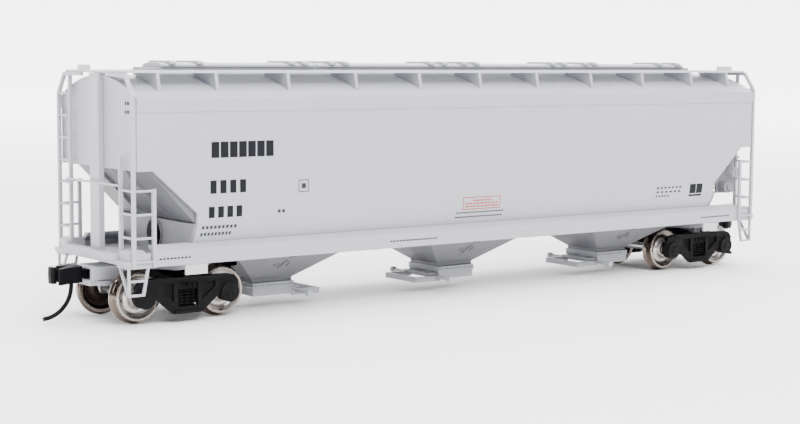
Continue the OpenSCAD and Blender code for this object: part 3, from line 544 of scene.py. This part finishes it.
def add_patch(bm, x0, x1, z0, z1, side, proud, material=0):
    """A thin closed patch that follows the side sheet."""
    steps = max(1, int((min(z1, BEND_Z) - z0) / 0.8) + 1) if z0 < BEND_Z else 1
    heights = [z0 + (z1 - z0) * i / steps for i in range(steps + 1)]
    outline = [(side_y(z) + proud, z) for z in heights] + [(side_y(z) - 0.1, z) for z in heights[::-1]]
    add_prism(bm, outline, x0, x1, lambda a, b, depth: (depth, side * a, b), material)


seams = bmesh.new()
for side in SIDES:
    for x in (-82.4, -68.8, -41.8, 0, 41.8, 68.8, 82.4):
        add_patch(seams, x - 0.12, x + 0.12, 27.5 if abs(x) > 80 else 18.3, 45.3, side, 0.02)
finish_piece(seams, "sheet_seams", shell_paint, "car", (), 0.0, 35)

marks = bmesh.new()
DARK, SOFT, RED = 0, 1, 2


def patch(side, x0, x1, z0, z1, colour):
    """A printed block; the far side is the near side turned half round."""
    if side > 0:
        x0, x1 = -x1, -x0
    add_patch(marks, x0, x1, z0, z1, side, 0.05, colour)


def row(side, x0, x1, z0, z1, count, share, colour):
    """Plain blocks in a row, standing in for a printed word; share is the inked part of the pitch."""
    pitch = (x1 - x0) / (count - 1 + share)
    for k in range(count):
        patch(side, x0 + k * pitch, x0 + (k + share) * pitch, z0, z1, colour)


def border(side, x0, x1, z0, z1, line, colour):
    """A printed frame."""
    patch(side, x0, x1, z0, z0 + line, colour)
    patch(side, x0, x1, z1 - line, z1, colour)
    patch(side, x0, x0 + line, z0 + line, z1 - line, colour)
    patch(side, x1 - line, x1, z0 + line, z1 - line, colour)


for side in SIDES:
    # where the name, the owner's marks and the car number are, as plain blocks
    row(side, -76.0, -60.5, 35.6, 39.0, 7, 0.84, DARK)
    row(side, -76.3, -67.5, 28.0, 30.8, 4, 0.62, DARK)
    row(side, -76.7, -68.5, 22.8, 25.2, 4, 0.62, DARK)
    for z0, x1 in ((20.4, -69.6), (18.9, -70.6)):
        row(side, -78.1, x1, z0, z0 + 0.7, 9, 0.6, SOFT)
    border(side, -54.0, -51.3, 27.4, 30.1, 0.16, SOFT)
    row(side, -53.2, -52.1, 28.2, 29.3, 1, 1, SOFT)
    row(side, -59.4, -57.6, 23.1, 23.8, 2, 0.6, SOFT)
    # red framed panel with three plain rules
    border(side, -7.4, 4.2, 21.0, 24.0, 0.16, RED)
    for z0, inset in ((23.0, 3.0), (22.3, 0.8), (21.6, 0.8)):
        row(side, -7.4 + inset, 4.2 - inset, z0, z0 + 0.3, 9, 0.75, RED)
    for z0 in (20.1, 19.0):
        row(side, -8.9, 5.6, z0, z0 + 0.35, 16, 0.7, SOFT)
    # small data blocks and two plain squares over a bar at the right
    for z0, x1, count in ((23.2, 66.6, 7), (22.1, 66.4, 6), (21.0, 62.4, 5)):
        row(side, 57.6, x1, z0, z0 + 0.45, count, 0.5, SOFT)
    patch(side, 70.0, 72.2, 21.5, 24.0, DARK)
    patch(side, 72.5, 74.7, 21.5, 24.0, DARK)
    patch(side, 70.0, 74.7, 20.7, 21.2, DARK)
finish_piece(marks, "printed_marks", [print_dark, print_soft, print_red], "car", (), 0.0, 35)

# two small marks high on each end wall
ends = bmesh.new()
END_WALL_X = 93.2
for side in SIDES:
    for z0, z1 in ((46.9, 47.6), (45.1, 45.8)):
        for y0, y1 in ((12.1, 12.8), (13.1, 14.1)):
            x = sorted((side * (END_WALL_X - 0.05), side * (END_WALL_X + 0.04)))
            y = sorted((side * y0, side * y1))
            add_box(ends, (x[0], y[0], z0), (x[1], y[1], z1))
finish_piece(ends, "end_marks", print_soft, "car", (), 0.0, 35)

# small rules printed on the sill
sill = bmesh.new()
sill_y = hi("side_sills").y
for side in SIDES:
    for x0, x1, count in ((-88.2, -80.5, 9), (-28.3, -14.4, 16), (75.2, 86.5, 11)):
        a, b = (x0, x1) if side < 0 else (-x1, -x0)
        y = sorted((side * (sill_y - 0.05), side * (sill_y + 0.04)))
        pitch = (b - a) / count
        for k in range(count):
            add_box(sill, (a + k * pitch, y[0], 14.55), (a + (k + 0.7) * pitch, y[1], 14.9))
finish_piece(sill, "sill_marks", print_soft, "car", (), 0.0, 35)

# ---------------------------------------------------------------- hopper bays and gates

# line of a bay's sloping side, and what stands on it: outline, how far it stands out, material
BAY_FOOT_Y, BAY_FOOT_Z = 5.6, 6.75
BAY_SPREAD, BAY_RISE = 9.4, 7.1
BAY_DETAILS = [
    ([(-1.0, 9.6), (-0.4, 9.6), (0.5, 11.6), (-0.1, 11.6)], 0.28, 0),
    ([(0.9, 10.1), (1.3, 10.1), (1.5, 10.9), (1.1, 10.9)], 0.22, 0),
    ([(-0.2, 12.3), (1.7, 12.3), (1.7, 12.6), (-0.2, 12.6)], 0.05, 1),
]


def on_bay_side(side, mid, x, z, out):
    """A point of a bay's sloping side, moved out along its normal."""
    y = BAY_FOOT_Y + (z - BAY_FOOT_Z) * BAY_SPREAD / BAY_RISE
    return (mid + x, side * (y + out * 0.6), z - out * 0.8)


bays = bmesh.new()
for node in ("hopper_bay_1", "hopper_bay_2", "hopper_bay_3"):
    low, high = lo(node), hi(node)
    mid = (low.x + high.x) / 2
    for side in SIDES:
        # vibrator bracket: a ring, a slanted arm beside it and a dark slot above them
        tilt = Vector((0, side * 0.6, -0.8)).normalized()
        add_lathe(
            bays,
            [(0.5, -0.3), (0.78, -0.3), (0.8, 0.16), (0.72, 0.22), (0.55, 0.22), (0.5, 0.16)],
            on_bay_side(side, mid, -1.8, 10.4, 0), tilt, 32,
        )
        for outline, out, material in BAY_DETAILS:
            add_prism(
                bays, outline, -0.3, out,
                lambda x, z, depth: on_bay_side(side, mid, x, z, depth), material,
            )
# painted shade: the brackets take the darkened grey of the bays
finish_piece(bays, "bay_brackets", [under_painted_shade, print_soft], "car", (), 0.04, 40)

bolts = bmesh.new()
for mid in BAY_CENTRES:
    for side in SIDES:
        for k in range(6):
            x = mid - 4.6 + k * 1.84
            add_lathe(
                bolts, [(0, 0.18), (0.2, 0.18), (0.26, 0.1), (0.26, -0.1), (0, -0.1)],
                (x, side * 6.25, 5.3), (0, side, 0), 6,
            )
finish_piece(bolts, "gate_bolts", gate_paint, "car", (), 0.0, 30)

# ---------------------------------------------------------------- stage, light and camera


def stage_material(name, colour, rough):
    n = Nodes(name)
    n.link(
        n.ramp(n.noise(1.5, 2), [(0.3, tint(colour, 0.99)), (0.7, tint(colour, 1.01))]),
        n.shader.inputs["Base Color"],
    )
    n.shader.inputs["Roughness"].default_value = rough
    n.shader.inputs["Specular IOR Level"].default_value = 0.2
    # painted light: the floor paper glows, more and more towards the back as in a light tent, so no horizon
    # shows
    depth = n.add("ShaderNodeSeparateXYZ")
    n.link(n.place, depth.inputs["Vector"])
    painted_glow = n.add("ShaderNodeMapRange", interpolation_type="SMOOTHSTEP")
    painted_glow.inputs["From Min"].default_value = 0.0
    painted_glow.inputs["From Max"].default_value = 1.3
    painted_glow.inputs["To Max"].default_value = 4.0
    n.link(depth.outputs["Y"], painted_glow.inputs["Value"])
    n.link(painted_glow.outputs["Result"], n.shader.inputs["Emission Strength"])
    n.shader.inputs["Emission Color"].default_value = (1, 1, 1, 1)
    return n.material


# floor that curves up into a wall behind the object, in metres
STAGE_FRONT, STAGE_BACK, STAGE_BEND, STAGE_TOP, STAGE_HALF_WIDTH = -12.0, 2.0, 1.2, 4.0, 12.0
BEND_STEPS = 16
bm = bmesh.new()
profile = [(STAGE_FRONT, 0.0), (STAGE_BACK, 0.0)]
for k in range(1, BEND_STEPS + 1):
    a = math.radians(90 * k / BEND_STEPS)
    profile.append((STAGE_BACK + STAGE_BEND * math.sin(a), STAGE_BEND - STAGE_BEND * math.cos(a)))
profile.append((STAGE_BACK + STAGE_BEND, STAGE_TOP))
rows = []
for depth, height in profile:
    rows.append([bm.verts.new((across, depth, height)) for across in (-STAGE_HALF_WIDTH, STAGE_HALF_WIDTH)])
for a, b in zip(rows, rows[1:]):
    bm.faces.new((a[0], a[1], b[1], b[0]))
floor_mesh = bpy.data.meshes.new("floor")
bm.to_mesh(floor_mesh)
bm.free()
floor = bpy.data.objects.new("floor", floor_mesh)
bpy.context.scene.collection.objects.link(floor)
floor.rotation_euler = (0, 0, math.radians(-36.5))
for polygon in floor_mesh.polygons:
    polygon.use_smooth = True
floor_mesh.materials.append(stage_material("floor_paper", (0.92, 0.92, 0.92), 0.7))


def area_light(name, place, target, size, power):
    data = bpy.data.lights.new(name, "AREA")
    data.shape = "RECTANGLE"
    data.size, data.size_y = size
    data.energy = power
    light = bpy.data.objects.new(name, data)
    light.location = place
    light.rotation_euler = (Vector(target) - Vector(place)).to_track_quat("-Z", "Y").to_euler()
    bpy.context.scene.collection.objects.link(light)


area_light("key", (-0.2, -0.85, 0.85), (0, 0, 0.02), (0.9, 0.6), 30)
area_light("top", (0.1, 0.05, 1.1), (0, 0, 0.02), (1.2, 0.8), 30)
area_light("fill", (-0.95, 0.1, 0.4), (0, 0, 0.03), (0.5, 0.5), 7)

world = bpy.data.worlds.new("studio")
bpy.context.scene.world = world
world.use_nodes = True
world.node_tree.nodes["Background"].inputs["Color"].default_value = (1, 1, 1, 1)
world.node_tree.nodes["Background"].inputs["Strength"].default_value = 0.25

CAMERA_AT = Vector((-0.24725, -0.31679, 0.05679))
LENS, SENSOR_WIDTH = 72.63, 36
YAW, PITCH, ROLL = (math.radians(a) for a in (36.503, 5.421, 0.327))
ahead = Vector((math.sin(YAW) * math.cos(PITCH), math.cos(YAW) * math.cos(PITCH), -math.sin(PITCH)))
right = Vector((math.cos(YAW), -math.sin(YAW), 0))
above = right.cross(ahead)
right_rolled = right * math.cos(ROLL) + above * math.sin(ROLL)
above_rolled = above * math.cos(ROLL) - right * math.sin(ROLL)
camera_data = bpy.data.cameras.new("camera")
camera_data.lens = LENS
camera_data.sensor_width = SENSOR_WIDTH
camera_data.clip_start = 0.01
camera = bpy.data.objects.new("camera", camera_data)
camera.matrix_world = Matrix.Translation(CAMERA_AT) @ Matrix(
    (right_rolled, above_rolled, -ahead)
).transposed().to_4x4()
bpy.context.scene.collection.objects.link(camera)
bpy.context.scene.camera = camera
